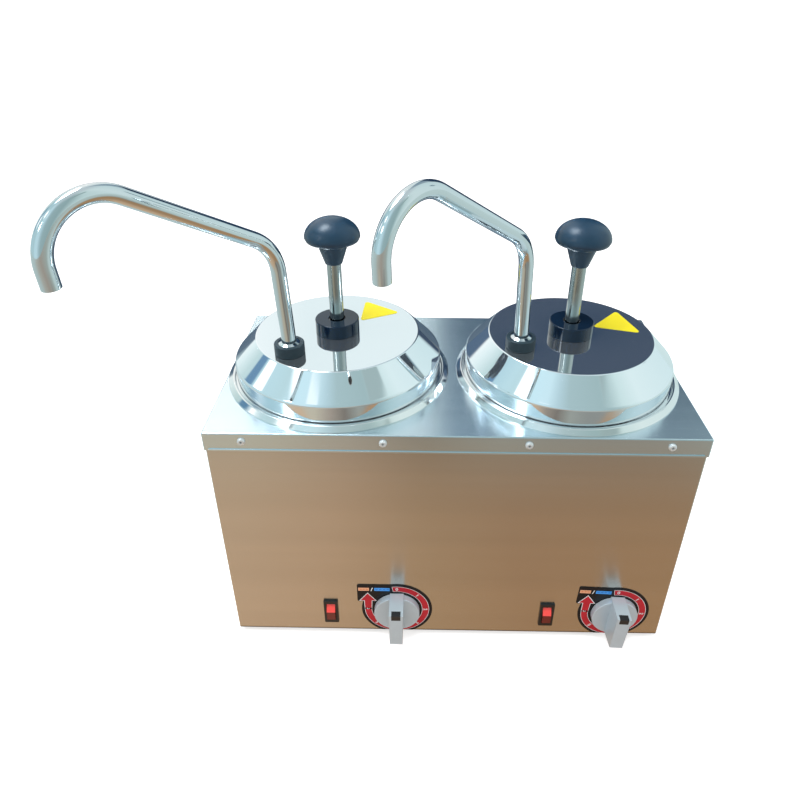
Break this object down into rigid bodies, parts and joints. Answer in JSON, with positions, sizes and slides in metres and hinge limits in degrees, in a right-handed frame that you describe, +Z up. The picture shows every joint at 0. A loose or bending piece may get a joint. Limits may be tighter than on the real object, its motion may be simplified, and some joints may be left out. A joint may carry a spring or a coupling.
{
  "type": "twin topping warmer with lid pumps",
  "caption": "Countertop twin hot-water topping warmer in sheet steel, with a lift-out pot, lid pump and swivelling spout on each side, and thermostats and rocker switches in front.",
  "frame": {"origin": "middle of the bottom of the box round the whole object at rest, on the plane of the feet", "axes": "+X to the right seen from the front, +Y towards the back (the controls face -Y), +Z up"},
  "size_m": [0.5086, 0.3254, 0.4995],
  "materials": {
    "brushed_panel": "brushed",
    "tray_steel": "matte",
    "polished_steel": "polished",
    "spun_steel": "satin",
    "machined_steel": "satin",
    "heater_sheath": "matte",
    "black_gloss": "gloss",
    "black_satin": "satin",
    "silver_plastic": "satin",
    "dial_face": "satin",
    "rocker_plastic": "gloss",
    "foot_rubber": "matte",
    "cream_plastic": "matte",
    "white_plastic": "satin",
    "seal_rubber": "matte"
  },
  "bodies": {
    "housing": {"front_panel": "brushed_panel", "top_deck": "brushed_panel", "rear_panel": "brushed_panel", "base_tray": "tray_steel", "housing_screws": "machined_steel", "rubber_feet": "foot_rubber", "cable_gland": "black_satin", "terminal_block": "cream_plastic", "side_panel_left": "brushed_panel", "water_bath_left": "spun_steel", "heater_left": "heater_sheath", "thermostat_left": "tray_steel", "dial_plate_left": "dial_face", "switch_body_left": "black_gloss", "side_panel_right": "brushed_panel", "water_bath_right": "spun_steel", "heater_right": "heater_sheath", "thermostat_right": "tray_steel", "dial_plate_right": "dial_face", "switch_body_right": "black_gloss"},
    "pot_left": {"pot_left": "polished_steel"},
    "lid_left": {"lid_left": "polished_steel", "pump_cylinder_left": "spun_steel", "pump_collar_left": "black_gloss", "guide_bush_left": "white_plastic", "valve_body_left": "white_plastic", "discharge_tube_left": "machined_steel", "spout_nut_left": "machined_steel", "return_spring_left": "machined_steel"},
    "plunger_left": {"plunger_rod_left": "polished_steel", "plunger_knob_left": "black_satin", "piston_left": "white_plastic", "piston_seal_left": "seal_rubber"},
    "spout_left": {"spout_tube_left": "polished_steel"},
    "inlet_ball_left": {"inlet_ball_left": "polished_steel"},
    "outlet_ball_left": {"outlet_ball_left": "polished_steel"},
    "control_knob_left": {"thermostat_knob_left": "silver_plastic", "knob_pointer_left": "black_satin", "spindle_left": "machined_steel"},
    "rocker_left": {"rocker_left": "rocker_plastic"},
    "pot_right": {"pot_right": "polished_steel"},
    "lid_right": {"lid_right": "polished_steel", "pump_cylinder_right": "spun_steel", "pump_collar_right": "black_gloss", "guide_bush_right": "white_plastic", "valve_body_right": "white_plastic", "discharge_tube_right": "machined_steel", "spout_nut_right": "machined_steel", "return_spring_right": "machined_steel"},
    "plunger_right": {"plunger_rod_right": "polished_steel", "plunger_knob_right": "black_satin", "piston_right": "white_plastic", "piston_seal_right": "seal_rubber"},
    "spout_right": {"spout_tube_right": "polished_steel"},
    "inlet_ball_right": {"inlet_ball_right": "polished_steel"},
    "outlet_ball_right": {"outlet_ball_right": "polished_steel"},
    "control_knob_right": {"thermostat_knob_right": "silver_plastic", "knob_pointer_right": "black_satin", "spindle_right": "machined_steel"},
    "rocker_right": {"rocker_right": "rocker_plastic"}
  },
  "joints": [
    {"name": "pot_lift_left", "type": "slide", "parent": "housing", "child": "pot_left", "axis": [0, 0, 1], "range_m": [0, 0.205]},
    {"name": "lid_lift_left", "type": "slide", "parent": "pot_left", "child": "lid_left", "axis": [0, 0, 1], "range_m": [0, 0.26]},
    {"name": "plunger_press_left", "type": "slide", "parent": "lid_left", "child": "plunger_left", "axis": [0, 0, 1], "range_m": [-0.05, 0], "stiffness_N_per_m": 350, "springref_m": 0.03, "deforming": ["return_spring_left"]},
    {"name": "spout_swivel_left", "type": "hinge", "parent": "lid_left", "child": "spout_left", "pos_m": [-0.12585, -0.01834, 0.3195], "axis": [0, 0, 1], "range_deg": [-120, 60]},
    {"name": "inlet_valve_left", "type": "slide", "parent": "lid_left", "child": "inlet_ball_left", "axis": [0, 0, 1], "range_m": [0, 0.003]},
    {"name": "outlet_valve_left", "type": "slide", "parent": "lid_left", "child": "outlet_ball_left", "axis": [0, 0, 1], "range_m": [0, 0.003]},
    {"name": "thermostat_turn_left", "type": "hinge", "parent": "housing", "child": "control_knob_left", "pos_m": [-0.02647, -0.09292, 0.0414], "axis": [0, 1, 0], "range_deg": [0, 300]},
    {"name": "power_switch_left", "type": "hinge", "parent": "housing", "child": "rocker_left", "pos_m": [-0.09567, -0.07992, 0.0368], "axis": [1, 0, 0], "range_deg": [0, 24]},
    {"name": "pot_lift_right", "type": "slide", "parent": "housing", "child": "pot_right", "axis": [0, 0, 1], "range_m": [0, 0.205]},
    {"name": "lid_lift_right", "type": "slide", "parent": "pot_right", "child": "lid_right", "axis": [0, 0, 1], "range_m": [0, 0.26]},
    {"name": "plunger_press_right", "type": "slide", "parent": "lid_right", "child": "plunger_right", "axis": [0, 0, 1], "range_m": [-0.05, 0], "stiffness_N_per_m": 350, "springref_m": 0.03, "deforming": ["return_spring_right"]},
    {"name": "spout_swivel_right", "type": "hinge", "parent": "lid_right", "child": "spout_right", "pos_m": [0.0889, -0.00202, 0.3195], "axis": [0, 0, 1], "range_deg": [-60, 120]},
    {"name": "inlet_valve_right", "type": "slide", "parent": "lid_right", "child": "inlet_ball_right", "axis": [0, 0, 1], "range_m": [0, 0.003]},
    {"name": "outlet_valve_right", "type": "slide", "parent": "lid_right", "child": "outlet_ball_right", "axis": [0, 0, 1], "range_m": [0, 0.003]},
    {"name": "thermostat_turn_right", "type": "hinge", "parent": "housing", "child": "control_knob_right", "pos_m": [0.19953, -0.09292, 0.0414], "axis": [0, 1, 0], "range_deg": [-3, 297]},
    {"name": "power_switch_right", "type": "hinge", "parent": "housing", "child": "rocker_right", "pos_m": [0.13033, -0.07992, 0.0368], "axis": [1, 0, 0], "range_deg": [0, 24]}
  ]
}
